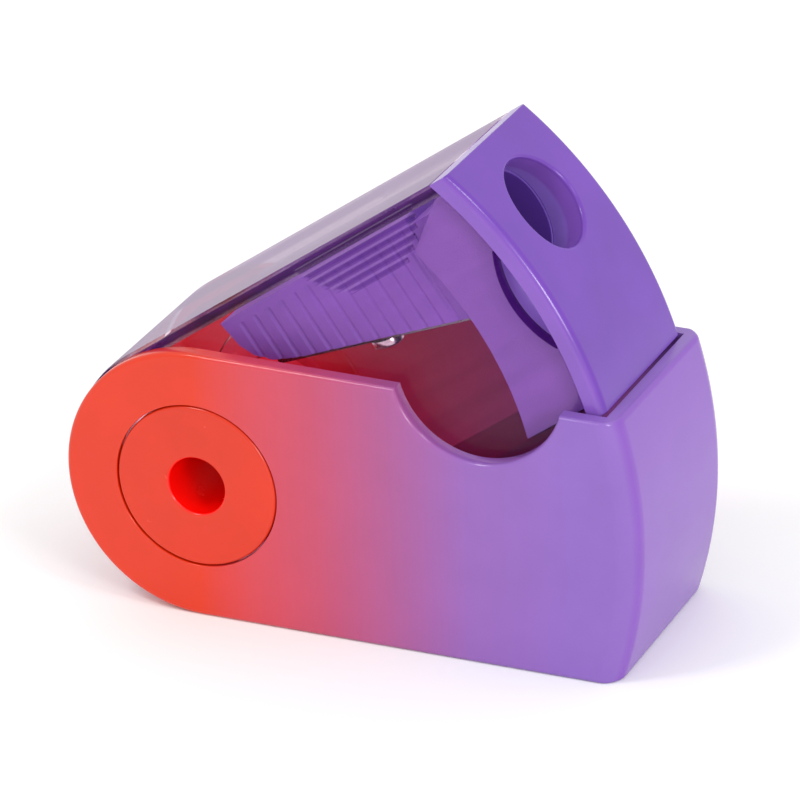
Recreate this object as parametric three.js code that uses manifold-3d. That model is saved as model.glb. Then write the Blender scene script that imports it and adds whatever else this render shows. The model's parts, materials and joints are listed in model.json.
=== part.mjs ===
// Single-hole pencil sharpener with a swing-out shavings box inside an outer case.
// Millimetres, +Z up. The case stands on its floor, +X runs from the pivot to the end wall,
// and the origin is at the middle of the footprint.

import * as THREE from "three";
import { mergeVertices } from "three/addons/utils/BufferGeometryUtils.js";
import Module from "manifold-3d";

// ---- driving dimensions ----

const OPEN_ANGLE = 35; // degrees that the swinging unit stands open

// outer case
const CASE_WIDTH = 20.4;
const CASE_HEIGHT = 24.2;
const PIVOT_HEIGHT = CASE_HEIGHT / 2;
const TOP_SLOPE = 0.8; // degrees that the open top falls towards the end wall
const END_OUTER_RADIUS = 39.6; // end wall, measured from the pivot
const END_INNER_RADIUS = 38.35;
const SIDE_WALL = 1.45;
const FLOOR_THICKNESS = 0.7;
const FLOOR_START = 6.2; // the floor begins this far from the pivot
const CASE_EDGE_ROUND = 0.4;
const CASE_CORNER_ROUND = 2;
const CASE_INNER_CORNER = 0.4;
const NOTCH_CENTRE = { x: 25.67, z: 13.83 }; // finger notch, from the pivot
const NOTCH_RADIUS = 7.55;

// pivot
const HUB_HOLE_RADIUS = 7.4;
const HUB_DISC_RADIUS = 7.3;
const HUB_SPIGOT_RADIUS = 4.4;
const HUB_BORE_RADIUS = 2.55;
const HUB_RIM_CHAMFER = 0.35;
const SEAT_GAP = 0.1; // between pieces that seat on each other
const PAST = 5; // how far a cutter runs past what it cuts

// shavings box, in the closed position and from the pivot
const BOX_WIDTH = 17.1;
const BOX_TOP = 12; // at the front cap
const BOX_BOTTOM = -11.25;
const BOX_HUB_RADIUS = 12.3;
const BOX_LOW_BACK_RADIUS = 11.95;
const BOX_BACK_TURN = { from: 145, to: 160 };
const LID_SLOPE = 0.47; // degrees that the lid falls from its round back to the front cap
const BOX_WALL = 1.2;
const BOX_LID = 1.3;
const BOX_FLOOR = 0.9;
const BOX_EDGE_ROUND = 0.4;
const SCOOP_CENTRE = { x: 43.6, z: 0.1 };
const SCOOP_RADIUS = 8.8;
const GRIP_RADIUS = 7;
const GRIP_GROOVE = 0.4;
const GRIP_DEPTH = 0.3;
const GRIP_LEVELS = [7.6, 8.3, 9.0, 9.7, 10.4];

// front cap
const CAP_OUTER_RADIUS = 38.2;
const CAP_INNER_RADIUS = 36.5;
const CAP_EDGE_ROUND = 0.75;
const SKIRT_BACK_RADIUS = 30;
const SKIRT_WALL = 0.8;
const SKIRT_CORNER_START = 33.4; // the skirt's top slopes down from here to its back
const SKIRT_CORNER_DROP = 2.9;
const COLLAR_RADIUS = 5.3;
const COLLAR_BACK = 34.8;

// pencil bore
const BORE_AXIS = 5.1; // height over the pivot
const MOUTH_RADIUS = 4.3;
const BORE_RADIUS = 4.1;
const CONE_START = 26.5; // the bore is round from here to the front
const CONE_TIP = 10.34;

// sharpener block
const BLOCK_FRONT = COLLAR_BACK - SEAT_GAP;
const BLOCK_BACK = 8.5;
const BLOCK_TOP = 10.4;
const TAIL_CURVE = [
  [0.4, 8],
  [1.1, 6.7],
  [2.4, 5.6],
]; // distance from the back of the block, height
const BLOCK_NOSE_TOP = 9.7;
const BLOCK_HALF_WIDTH = 6.2;
const NOSE_HALF_WIDTH = 6.1;
const NOSE_START = 29.3;
const NOSE_LAP = 2; // how far the nose runs back into the ribbed body
const FACE_ANGLE = 14.2; // degrees that the blade face slopes down to the front
const FACE_POINT = { x: 13.3, z: 4.7 };
const RIB_PITCH = 1.5;
const RIB_GROOVE = 0.55;
const RIB_DEPTH = 0.2;
const RIB_STOP = 0.8; // the grooves end this far under the top

// blade and its screw
const BLADE_LENGTH = 20;
const BLADE_THICKNESS = 0.5;
const BLADE_EDGE_Y = 0.2;
const BLADE_BACK_Y = -5;
const BLADE_GRIND = 1.5;
const BLADE_EDGE_FLAT = 0.05;
const SCREW = { x: 20.2, y: -3.8 };
const SCREW_HEAD_RADIUS = 1.4;
const SCREW_HEAD_HEIGHT = 0.9;
const SCREW_HEAD_CHAMFER = 0.3;
const SCREW_SLOT = { width: 0.4, depth: 0.4 };
const SCREW_SHANK_RADIUS = 0.8;
const SCREW_SHANK_LENGTH = 4;
const SCREW_CLEARANCE = 0.15;

const FINE = 180; // segments of the wide arcs about the pivot
const MEDIUM = 72;
const COARSE = 36;

// ---- solids ----

const kernel = await Module();
kernel.setup();

function solid(geometry) {
  const plain = geometry.index ? geometry.toNonIndexed() : geometry.clone();
  plain.deleteAttribute("normal");
  plain.deleteAttribute("uv");
  const welded = mergeVertices(plain, 1e-4);
  const made = new kernel.Manifold(
    new kernel.Mesh({
      numProp: 3,
      vertProperties: welded.attributes.position.array,
      triVerts: new Uint32Array(welded.index.array),
    }),
  );
  if (made.volume() <= 0) {
    throw new Error("a solid is inside out");
  }
  return made;
}

function geometryOf(manifold) {
  const mesh = manifold.getMesh();
  const stride = mesh.numProp;
  const positions = new Float32Array(mesh.numVert * 3);
  for (let i = 0; i < mesh.numVert; i += 1) {
    positions.set(mesh.vertProperties.subarray(i * stride, i * stride + 3), i * 3);
  }
  const indexed = new THREE.BufferGeometry();
  indexed.setAttribute("position", new THREE.BufferAttribute(positions, 3));
  indexed.setIndex(new THREE.BufferAttribute(new Uint32Array(mesh.triVerts), 1));
  const flat = indexed.toNonIndexed();
  flat.computeVertexNormals();
  return flat;
}

function box(x0, x1, y0, y1, z0, z1) {
  const made = new THREE.BoxGeometry(x1 - x0, y1 - y0, z1 - z0);
  made.translate((x0 + x1) / 2, (y0 + y1) / 2, (z0 + z1) / 2);
  return solid(made);
}

// An outline in the XZ plane, extruded across the width and centred on it.
function slab(outline, width, round = 0) {
  const made = new THREE.ExtrudeGeometry(outline, {
    depth: width - 2 * round,
    curveSegments: COARSE,
    bevelEnabled: round > 0,
    bevelThickness: round,
    bevelSize: round,
    bevelOffset: -round,
    bevelSegments: 3,
  });
  made.translate(0, 0, round - width / 2);
  made.rotateX(Math.PI / 2);
  return solid(made);
}

function outlineOf(points) {
  const outline = new THREE.Shape();
  outline.moveTo(...points[0]);
  points.slice(1).forEach((point) => outline.lineTo(...point));
  outline.closePath();
  return outline;
}

// A disc about the pivot axis, with its two rims rounded.
function coin(radius, width, round = 0, segments = FINE) {
  const half = width / 2;
  const profile = [new THREE.Vector2(0, -half)];
  const steps = round > 0 ? 4 : 0;
  for (let i = 0; i <= steps; i += 1) {
    const turn = steps ? (i / steps) * (Math.PI / 2) : 0;
    const out = radius - round + round * Math.sin(turn);
    profile.push(new THREE.Vector2(out, -half + round - round * Math.cos(turn)));
  }
  for (let i = 0; i <= steps; i += 1) {
    const turn = steps ? (i / steps) * (Math.PI / 2) : 0;
    const out = radius - round + round * Math.cos(turn);
    profile.push(new THREE.Vector2(out, half - round + round * Math.sin(turn)));
  }
  profile.push(new THREE.Vector2(0, half));
  return solid(new THREE.LatheGeometry(profile, segments));
}

// A straight or tapering round along +X, given as [x, radius] stations.
function roundAlongX(stations, height, segments = MEDIUM) {
  const first = stations[0];
  const last = stations[stations.length - 1];
  const profile = stations.map(([x, radius]) => new THREE.Vector2(radius, x));
  if (first[1] > 0) {
    profile.unshift(new THREE.Vector2(0, first[0]));
  }
  if (last[1] > 0) {
    profile.push(new THREE.Vector2(0, last[0]));
  }
  const made = new THREE.LatheGeometry(profile, segments);
  made.rotateZ(-Math.PI / 2);
  made.translate(0, 0, height);
  return solid(made);
}

function roundAcross(x, z, radius, width, segments = MEDIUM) {
  const made = new THREE.CylinderGeometry(radius, radius, width, segments);
  made.translate(x, 0, z);
  return solid(made);
}

function piece(name, manifold, colour, roughness, metalness = 0) {
  const material = new THREE.MeshStandardMaterial({ color: colour, roughness, metalness });
  const mesh = new THREE.Mesh(geometryOf(manifold), material);
  mesh.name = name;
  return mesh;
}

function radians(degrees) {
  return (degrees * Math.PI) / 180;
}

// ---- outer case ----

function caseSolid() {
  const beyond = END_OUTER_RADIUS + PAST;
  const slope = radians(TOP_SLOPE);
  const topAtBeyond = PIVOT_HEIGHT / Math.cos(slope) - beyond * Math.tan(slope);
  const outline = new THREE.Shape();
  outline.moveTo(0, -PIVOT_HEIGHT);
  outline.lineTo(beyond, -PIVOT_HEIGHT);
  outline.lineTo(beyond, topAtBeyond);
  outline.lineTo(PIVOT_HEIGHT * Math.sin(slope), PIVOT_HEIGHT * Math.cos(slope));
  outline.absarc(0, 0, PIVOT_HEIGHT, Math.PI / 2 - slope, (3 * Math.PI) / 2, false);
  const inside = CASE_WIDTH - 2 * SIDE_WALL;
  const block = slab(outline, CASE_WIDTH, CASE_EDGE_ROUND);
  const end = coin(END_OUTER_RADIUS, CASE_WIDTH, CASE_CORNER_ROUND);
  const cavity = coin(END_INNER_RADIUS, inside, CASE_INNER_CORNER);
  const overFloor = box(
    -END_OUTER_RADIUS,
    END_OUTER_RADIUS,
    -inside / 2,
    inside / 2,
    -PIVOT_HEIGHT + FLOOR_THICKNESS,
    PIVOT_HEIGHT + PAST,
  );
  const hubEnd = box(
    -END_OUTER_RADIUS,
    FLOOR_START,
    -inside / 2,
    inside / 2,
    -PIVOT_HEIGHT - PAST,
    0,
  );
  return block
    .intersect(end)
    .subtract(cavity.intersect(overFloor))
    .subtract(hubEnd)
    .subtract(roundAcross(0, 0, HUB_HOLE_RADIUS, CASE_WIDTH + PAST))
    .subtract(roundAcross(NOTCH_CENTRE.x, NOTCH_CENTRE.z, NOTCH_RADIUS, CASE_WIDTH + PAST));
}

// ---- pivot ----

// One half of the hollow pivot: a flush disc in the case wall and a spigot to the middle.
function pivotHalf(side) {
  const outer = CASE_WIDTH / 2;
  const seat = BOX_WIDTH / 2 + SEAT_GAP;
  const profile = [
    [0, SEAT_GAP / 2],
    [HUB_SPIGOT_RADIUS, SEAT_GAP / 2],
    [HUB_SPIGOT_RADIUS, seat],
    [HUB_DISC_RADIUS, seat],
    [HUB_DISC_RADIUS, outer - HUB_RIM_CHAMFER],
    [HUB_DISC_RADIUS - HUB_RIM_CHAMFER, outer],
    [0, outer],
  ].map(([radius, y]) => new THREE.Vector2(radius, y));
  const made = solid(new THREE.LatheGeometry(profile, MEDIUM)).subtract(
    roundAcross(0, 0, HUB_BORE_RADIUS, CASE_WIDTH + PAST, COARSE),
  );
  return side > 0 ? made : made.rotate([180, 0, 0]);
}

// ---- shavings box ----

// The box's outline, drawn in by a wall, a lid and a floor thickness. The lid leaves the back
// arc as a tangent, so the inner lid line is the tangent of a circle that is smaller by the lid.
// The lower back has a smaller radius, to stay above the case's base plane.
function boxOutline(wall, lid, floor, front) {
  const slope = radians(LID_SLOPE);
  const radius = BOX_HUB_RADIUS - wall;
  const lowRadius = BOX_LOW_BACK_RADIUS - wall;
  const lidRadius = BOX_HUB_RADIUS - lid;
  const bottom = BOX_BOTTOM + floor;
  const leave = Math.PI / 2 - slope + Math.acos(lidRadius / radius);
  const outline = new THREE.Shape();
  outline.moveTo(Math.sqrt(lowRadius * lowRadius - bottom * bottom), bottom);
  outline.lineTo(front, bottom);
  outline.lineTo(front, lidRadius / Math.cos(slope) - front * Math.tan(slope));
  outline.lineTo(radius * Math.cos(leave), radius * Math.sin(leave));
  outline.absarc(0, 0, radius, leave, radians(BOX_BACK_TURN.from), false);
  const lowEnd = 2 * Math.PI + Math.asin(bottom / lowRadius);
  outline.absarc(0, 0, lowRadius, radians(BOX_BACK_TURN.to), lowEnd, false);
  return outline;
}

function gripGrooves() {
  const outer = BOX_WIDTH / 2;
  const cuts = [];
  GRIP_LEVELS.forEach((level) => {
    const half = Math.sqrt(GRIP_RADIUS ** 2 - (level - NOTCH_CENTRE.z) ** 2);
    const x0 = NOTCH_CENTRE.x - half;
    const x1 = NOTCH_CENTRE.x + half;
    const z0 = level - GRIP_GROOVE / 2;
    const z1 = level + GRIP_GROOVE / 2;
    cuts.push(box(x0, x1, outer - GRIP_DEPTH, outer + PAST, z0, z1));
    cuts.push(box(x0, x1, -outer - PAST, -outer + GRIP_DEPTH, z0, z1));
  });
  return kernel.Manifold.union(cuts);
}

function boxSolid() {
  const front = CAP_OUTER_RADIUS + PAST;
  const body = slab(boxOutline(0, 0, 0, front), BOX_WIDTH, BOX_EDGE_ROUND);
  const hollow = slab(boxOutline(BOX_WALL, BOX_LID, BOX_FLOOR, front), BOX_WIDTH - 2 * BOX_WALL);
  return body
    .subtract(hollow)
    .intersect(coin(CAP_INNER_RADIUS - SEAT_GAP, BOX_WIDTH + PAST))
    .subtract(roundAcross(0, 0, HUB_SPIGOT_RADIUS + SEAT_GAP, BOX_WIDTH + PAST))
    .subtract(roundAcross(SCOOP_CENTRE.x, SCOOP_CENTRE.z, SCOOP_RADIUS, BOX_WIDTH + PAST))
    .subtract(gripGrooves());
}

// ---- front cap ----

function capSolid() {
  const insideWidth = BOX_WIDTH - 2 * BOX_WALL;
  const skirtWidth = insideWidth - 2 * SEAT_GAP;
  const skirtTop = BOX_TOP - BOX_LID - SEAT_GAP;
  const skirtBottom = BOX_BOTTOM + BOX_FLOOR + SEAT_GAP;
  const plate = coin(CAP_OUTER_RADIUS, BOX_WIDTH, CAP_EDGE_ROUND)
    .subtract(coin(CAP_INNER_RADIUS, BOX_WIDTH + PAST))
    .intersect(box(0, CAP_OUTER_RADIUS + PAST, -BOX_WIDTH, BOX_WIDTH, BOX_BOTTOM, BOX_TOP));
  const backTurn = Math.asin((skirtTop - SKIRT_CORNER_DROP) / SKIRT_BACK_RADIUS);
  const backEnd = Math.asin(skirtBottom / SKIRT_BACK_RADIUS);
  const skirtOutline = new THREE.Shape();
  skirtOutline.moveTo(CAP_OUTER_RADIUS, skirtBottom);
  skirtOutline.lineTo(CAP_OUTER_RADIUS, skirtTop);
  skirtOutline.lineTo(SKIRT_CORNER_START, skirtTop);
  skirtOutline.absarc(0, 0, SKIRT_BACK_RADIUS, backTurn, backEnd, true);
  const join = coin((CAP_OUTER_RADIUS + CAP_INNER_RADIUS) / 2, BOX_WIDTH + PAST);
  const skirtHollow = box(
    SKIRT_BACK_RADIUS - PAST,
    CAP_OUTER_RADIUS + PAST,
    SKIRT_WALL - skirtWidth / 2,
    skirtWidth / 2 - SKIRT_WALL,
    skirtBottom + SKIRT_WALL,
    skirtTop - SKIRT_WALL,
  ).intersect(coin(CAP_INNER_RADIUS, BOX_WIDTH + PAST));
  const collar = roundAlongX(
    [
      [COLLAR_BACK, COLLAR_RADIUS],
      [CAP_OUTER_RADIUS, COLLAR_RADIUS],
    ],
    BORE_AXIS,
  );
  const mouth = roundAlongX(
    [
      [COLLAR_BACK - PAST, MOUTH_RADIUS],
      [CAP_OUTER_RADIUS + PAST, MOUTH_RADIUS],
    ],
    BORE_AXIS,
  );
  return slab(skirtOutline, skirtWidth)
    .subtract(skirtHollow)
    .add(collar)
    .intersect(join)
    .add(plate)
    .subtract(mouth);
}

// ---- sharpener block ----

function faceHeight(x) {
  return FACE_POINT.z - (x - FACE_POINT.x) * Math.tan(radians(FACE_ANGLE));
}

function ribGrooves() {
  const cuts = [];
  for (let x = BLOCK_BACK + RIB_PITCH; x < NOSE_START - RIB_GROOVE; x += RIB_PITCH) {
    [-1, 1].forEach((side) => {
      const wall = side * (BLOCK_HALF_WIDTH - RIB_DEPTH);
      const outside = side * (BLOCK_HALF_WIDTH + PAST);
      cuts.push(
        box(
          x,
          x + RIB_GROOVE,
          Math.min(wall, outside),
          Math.max(wall, outside),
          BOX_BOTTOM,
          BLOCK_TOP - RIB_STOP,
        ),
      );
    });
  }
  return kernel.Manifold.union(cuts);
}

// A round for the screw to pass through, standing on its end.
function screwDrill(length) {
  const radius = SCREW_SHANK_RADIUS + SCREW_CLEARANCE;
  const made = new THREE.CylinderGeometry(radius, radius, length, COARSE);
  made.rotateX(Math.PI / 2);
  return made;
}

function blockSolid() {
  const tail = outlineOf([
    [BLOCK_BACK, BLOCK_TOP],
    ...TAIL_CURVE.map(([back, height]) => [BLOCK_BACK + back, height]),
    [FACE_POINT.x, FACE_POINT.z],
    [NOSE_START, faceHeight(NOSE_START)],
    [NOSE_START, BLOCK_TOP],
  ]);
  const noseBack = NOSE_START - NOSE_LAP;
  const nose = outlineOf([
    [noseBack, faceHeight(noseBack)],
    [BLOCK_FRONT, faceHeight(BLOCK_FRONT)],
    [BLOCK_FRONT, BLOCK_NOSE_TOP],
    [noseBack, BLOCK_NOSE_TOP],
  ]);
  const bore = roundAlongX(
    [
      [CONE_TIP, 0],
      [CONE_START, BORE_RADIUS],
      [BLOCK_FRONT + PAST, BORE_RADIUS],
    ],
    BORE_AXIS,
  );
  const screwHole = screwDrill(2 * (SCREW_SHANK_LENGTH + SCREW_CLEARANCE));
  screwHole.rotateY(radians(FACE_ANGLE));
  screwHole.translate(SCREW.x, SCREW.y, faceHeight(SCREW.x));
  return slab(tail, 2 * BLOCK_HALF_WIDTH)
    .subtract(ribGrooves())
    .add(slab(nose, 2 * NOSE_HALF_WIDTH))
    .subtract(bore)
    .subtract(solid(screwHole));
}

// ---- blade and screw, in the frame of the sloping blade face ----

function bladeSolid() {
  const top = -SEAT_GAP / 2;
  const bottom = top - BLADE_THICKNESS;
  const section = new THREE.Shape();
  section.moveTo(BLADE_BACK_Y, bottom);
  section.lineTo(BLADE_EDGE_Y - BLADE_GRIND, bottom);
  section.lineTo(BLADE_EDGE_Y, top - BLADE_EDGE_FLAT);
  section.lineTo(BLADE_EDGE_Y, top);
  section.lineTo(BLADE_BACK_Y, top);
  section.closePath();
  const made = new THREE.ExtrudeGeometry(section, { depth: BLADE_LENGTH, bevelEnabled: false });
  made.rotateX(Math.PI / 2);
  made.rotateZ(Math.PI / 2);
  made.translate(-BLADE_LENGTH / 2, 0, 0);
  const hole = screwDrill(PAST);
  hole.translate(0, SCREW.y, 0);
  return solid(made).subtract(solid(hole));
}

function screwSolid() {
  const underHead = -SEAT_GAP - BLADE_THICKNESS;
  const headEnd = underHead - SCREW_HEAD_HEIGHT;
  const profile = [
    [0, headEnd],
    [SCREW_HEAD_RADIUS - SCREW_HEAD_CHAMFER, headEnd],
    [SCREW_HEAD_RADIUS, headEnd + SCREW_HEAD_CHAMFER],
    [SCREW_HEAD_RADIUS, underHead],
    [SCREW_SHANK_RADIUS, underHead],
    [SCREW_SHANK_RADIUS, SCREW_SHANK_LENGTH],
    [0, SCREW_SHANK_LENGTH],
  ].map(([radius, z]) => new THREE.Vector2(radius, z));
  const made = new THREE.LatheGeometry(profile, COARSE);
  made.rotateX(Math.PI / 2);
  const drive = box(
    -PAST,
    PAST,
    -SCREW_SLOT.width / 2,
    SCREW_SLOT.width / 2,
    headEnd - PAST,
    headEnd + SCREW_SLOT.depth,
  );
  return solid(made).subtract(drive).translate([0, SCREW.y, 0]);
}

// ---- assembly ----

const sharpener = new THREE.Group();
sharpener.name = "pencil_sharpener";

const atPivot = new THREE.Group();
atPivot.position.set((PIVOT_HEIGHT - END_OUTER_RADIUS) / 2, 0, PIVOT_HEIGHT);
sharpener.add(atPivot);
atPivot.add(piece("outer_case", caseSolid(), 0xb0609c, 0.35));

const unit = new THREE.Group();
unit.rotation.y = -radians(OPEN_ANGLE);
atPivot.add(unit);
unit.add(piece("pivot_near", pivotHalf(-1), 0xf0532f, 0.35));
unit.add(piece("pivot_far", pivotHalf(1), 0xf0532f, 0.35));
unit.add(piece("shavings_box", boxSolid(), 0xb48fc8, 0.12));
unit.add(piece("front_cap", capSolid(), 0x8a62c2, 0.35));
unit.add(piece("sharpener_block", blockSolid(), 0x7d5ab0, 0.4));

const bladeFace = new THREE.Group();
bladeFace.position.set(SCREW.x, 0, faceHeight(SCREW.x));
bladeFace.rotation.y = radians(FACE_ANGLE);
unit.add(bladeFace);
bladeFace.add(piece("blade", bladeSolid(), 0xb8babd, 0.25, 1));
bladeFace.add(piece("blade_screw", screwSolid(), 0xc8c8c6, 0.3, 1));

export default sharpener;
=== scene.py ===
"""Looks of a pocket pencil sharpener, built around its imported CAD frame.

Meshes are built in millimetres about the pivot, with the box swung shut: +X to the front,
+Y to the far side, +Z up. Each piece is then scaled to metres and placed on its body.
"""

import json
import math

import bmesh
import bpy
from mathutils import Matrix, Vector


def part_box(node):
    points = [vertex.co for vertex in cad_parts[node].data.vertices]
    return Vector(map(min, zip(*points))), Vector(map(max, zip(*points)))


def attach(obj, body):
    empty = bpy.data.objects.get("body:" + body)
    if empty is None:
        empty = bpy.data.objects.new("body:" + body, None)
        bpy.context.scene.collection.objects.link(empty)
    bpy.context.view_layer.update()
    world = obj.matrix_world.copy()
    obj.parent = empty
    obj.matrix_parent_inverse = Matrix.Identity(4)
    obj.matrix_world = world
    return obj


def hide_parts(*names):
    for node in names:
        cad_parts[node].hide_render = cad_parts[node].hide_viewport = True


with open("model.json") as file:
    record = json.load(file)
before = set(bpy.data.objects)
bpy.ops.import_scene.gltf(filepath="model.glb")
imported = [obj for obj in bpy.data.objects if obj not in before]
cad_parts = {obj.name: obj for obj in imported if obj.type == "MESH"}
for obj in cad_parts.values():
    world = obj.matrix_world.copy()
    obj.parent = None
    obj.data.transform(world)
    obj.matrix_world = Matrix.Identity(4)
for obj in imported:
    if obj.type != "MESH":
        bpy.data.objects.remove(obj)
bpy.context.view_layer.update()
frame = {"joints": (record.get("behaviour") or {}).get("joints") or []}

# ---- sizes from the frame, in millimetres ----

MM = 0.001
swing = frame["joints"][0]
pivot = Vector(swing["pos_m"])
open_angle = -math.radians(swing["range_deg"][0])

case_low, case_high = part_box("outer_case")
CASE_WIDTH = (case_high.y - case_low.y) / MM
HUB_RADIUS = (case_high.z - case_low.z) / MM / 2
END_RADIUS = (case_high.x - pivot.x) / MM
lid_low, lid_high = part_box("shavings_box")
BOX_WIDTH = (lid_high.y - lid_low.y) / MM
block_low, block_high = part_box("sharpener_block")
BLOCK_HALF = (block_high.y - block_low.y) / MM / 2

# ---- sizes of the mouldings, in millimetres ----

CASE_WALL = 1.45
CASE_END_WALL = 1.25
CASE_FLOOR = 0.7
CASE_FLOOR_START = 6.2
CASE_TOP_SLOPE = math.radians(0.8)
CASE_EDGE = 0.42
CASE_CORNER = 2.0
CASE_LEAST_FILLET = 0.02  # what is left of its corner rounding where a rim is fully drawn in
CASE_INNER_EDGE = 0.1
NOTCH = (25.67, 13.83, 7.55)  # centre x, centre z, radius
HUB_HOLE = 7.4
HUB_DISC = 7.3
HUB_SPIGOT = 4.4
HUB_BORE = 2.55
HUB_LIP = 0.1
PIVOT_EDGE = 0.3
GAP = 0.1  # between pieces that seat on each other

BOX_TOP = 12.0
BOX_BOTTOM = -11.25
BOX_BACK = 12.3  # radius of its round back
BOX_LOW_BACK = 11.95  # and of the lower part of it
BOX_BACK_TURN = (math.radians(145), math.radians(160))
LID_SLOPE = math.radians(0.47)  # the lid falls this much from the round back to the cap
BOX_WALL = 1.2
BOX_LID = 1.3
BOX_FLOOR = 0.9
BOX_EDGE = 0.4
BOX_INNER_EDGE = 0.08
SCOOP = (43.6, 0.1, 8.8)
GRIP = (NOTCH[0], NOTCH[1], 7.0)
GRIP_LEVELS = [7.6, 8.3, 9.0, 9.7, 10.4]
GRIP_GROOVE = 0.4
GRIP_DEPTH = 0.3

CAP_OUTER = 38.2
CAP_INNER = 36.5
CAP_EDGE = 0.75
CAP_BACK_EDGE = 0.25
SKIRT_BACK = 30.0  # radius of its back edge about the pivot
SKIRT_WALL = 0.8
SKIRT_EDGE = 0.1
SKIRT_CORNER = (33.4, 2.9)  # where its top starts to slope down to the back, and by how much
COLLAR_RADIUS = 5.3
COLLAR_BACK = 34.8
BORE_HEIGHT = 5.1
MOUTH_RADIUS = 4.3
MOUTH_LIP = 0.3
BORE_RADIUS = 4.1
BORE_STRAIGHT = 26.5
BORE_TIP = 10.34

BLOCK_BACK = 8.5
BLOCK_TOP = 10.4
BLOCK_TAIL = [(0, BLOCK_TOP), (0.4, 8), (1.1, 6.7), (2.4, 5.6)]  # x past BLOCK_BACK, and z
BLOCK_EDGE = 0.12
NOSE_START = 29.3
NOSE_TOP = 9.7
NOSE_HALF = 6.1
NOSE_ROOT = 2.0  # how far the nose reaches into the body
FACE_ANGLE = math.radians(14.2)
FACE_POINT = (13.3, 4.7)
RIB_PITCH = 1.5
RIB_GROOVE = 0.55
RIB_SLANT = 0.35  # share of a groove's width that each sloping side takes
RIB_DEPTH = 0.12
RIB_STOP = 0.8

BLADE_LENGTH = 20.0
BLADE_THICKNESS = 0.5
BLADE_EDGE_Y = 0.2
BLADE_BACK_Y = -5.0
BLADE_GRIND = 1.5
BLADE_TIP = 0.05  # thickness left at the cutting edge
BLADE_ROUNDING = 0.04
SCREW_X = 20.2
SCREW_Y = -3.8
SCREW_HEAD = (1.4, 0.9)  # radius, height
SCREW_SHANK = (0.8, 4.0)  # radius, length
SCREW_RIM = 0.55  # share of the head's height that its rim has
SCREW_SLOT = (0.4, 0.4)  # width, depth
SCREW_ROUNDING = 0.05

BEYOND = 5.0  # how far a cutter runs past what it cuts
WIDE_STEPS = 360  # steps in a full turn of a wide arc
ROUND_STEPS = 128  # steps in a full turn of a small round
SCREW_STEPS = 64  # steps in a full turn of the screw
RIM_STEPS = 8  # steps in the rounding of a rim
COIN_STEPS = 10
LIP_STEPS = 6
LEVEL_DIGITS = 5  # decimals to which levels count as one
WELD = 1e-3
FLAT = math.radians(0.1)  # faces that turn by less lie in one plane
SHARP = math.radians(35)  # edges that turn by more are shaded sharp
NORMAL_WEIGHT = 60


# ---- mesh building, in millimetres ----


def made(name, bm):
    bmesh.ops.recalc_face_normals(bm, faces=bm.faces)
    mesh = bpy.data.meshes.new(name)
    bm.to_mesh(mesh)
    bm.free()
    piece = bpy.data.objects.new(name, mesh)
    bpy.context.scene.collection.objects.link(piece)
    return piece


def arc(x, z, radius, start, end, full_turn=WIDE_STEPS, steps=None):
    """Points of an arc in the XZ plane, with angles in radians from +X towards +Z."""
    steps = steps or max(2, round(abs(end - start) / (2 * math.pi) * full_turn))
    turns = [start + (end - start) * i / steps for i in range(steps + 1)]
    return [(x + radius * math.cos(t), z + radius * math.sin(t)) for t in turns]


def add_prism(bm, outline, y0, y1):
    near = [bm.verts.new((x, y0, z)) for x, z in outline]
    far = [bm.verts.new((x, y1, z)) for x, z in outline]
    bm.faces.new(near)
    bm.faces.new(far)
    for i in range(len(outline)):
        j = (i + 1) % len(outline)
        bm.faces.new((near[i], near[j], far[j], far[i]))


def prism(name, outline, y0, y1):
    bm = bmesh.new()
    add_prism(bm, outline, y0, y1)
    return made(name, bm)


def rim_inset(y, half, radius):
    """How far an outline is drawn in at y, on a slab whose rims are rounded by a radius."""
    into = max(0.0, abs(y) - (half - radius))
    return radius - math.sqrt(max(0.0, radius**2 - into**2))


def rim_levels(half, *radii):
    """Where along Y a slab with rounded rims needs an outline, from -half to half."""
    turns = [math.pi / 2 * i / RIM_STEPS for i in range(RIM_STEPS + 1)]
    outer = {round(half - r + r * math.cos(t), LEVEL_DIGITS) for r in radii for t in turns}
    return sorted({-y for y in outer} | outer)


def lofted(name, outline_at, levels):
    """A solid through outlines with equal counts of points, one for each level along Y."""
    bm = bmesh.new()
    rings = [[bm.verts.new((x, y, z)) for x, z in outline_at(y)] for y in levels]
    bm.faces.new(rings[0])
    bm.faces.new(rings[-1])
    count = len(rings[0])
    for a, b in zip(rings, rings[1:]):
        for i in range(count):
            j = (i + 1) % count
            bm.faces.new((a[i], a[j], b[j], b[i]))
    return made(name, bm)


def block(name, x0, x1, y0, y1, z0, z1):
    return prism(name, [(x0, z0), (x1, z0), (x1, z1), (x0, z1)], y0, y1)


def turned(name, profile, steps, place):
    """A profile of (radius, distance) turned about an axis.

    place takes two offsets off the axis and a distance along it, and gives x, y and z.
    """
    bm = bmesh.new()
    turns = [2 * math.pi * i / steps for i in range(steps)]
    rings = []
    for radius, distance in profile:
        if radius == 0:
            rings.append([bm.verts.new(place(0, 0, distance))])
            continue
        ring = [place(radius * math.cos(t), radius * math.sin(t), distance) for t in turns]
        rings.append([bm.verts.new(point) for point in ring])
    for ring in (rings[0], rings[-1]):
        if len(ring) > 1:
            bm.faces.new(ring)
    for a, b in zip(rings, rings[1:]):
        for i in range(steps):
            j = (i + 1) % steps
            corners = [a[i % len(a)], a[j % len(a)], b[j % len(b)], b[i % len(b)]]
            bm.faces.new(list(dict.fromkeys(corners)))
    return made(name, bm)


def across(name, profile, x=0.0, z=0.0, steps=ROUND_STEPS):
    """A solid turned about an axis along Y, from a profile of (radius, y)."""
    return turned(name, profile, steps, lambda a, b, y: (x + a, y, z + b))


def along(name, profile, steps=ROUND_STEPS):
    """A solid turned about the pencil's axis, from a profile of (radius, x)."""
    return turned(name, profile, steps, lambda a, b, x: (x, a, BORE_HEIGHT + b))


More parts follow.
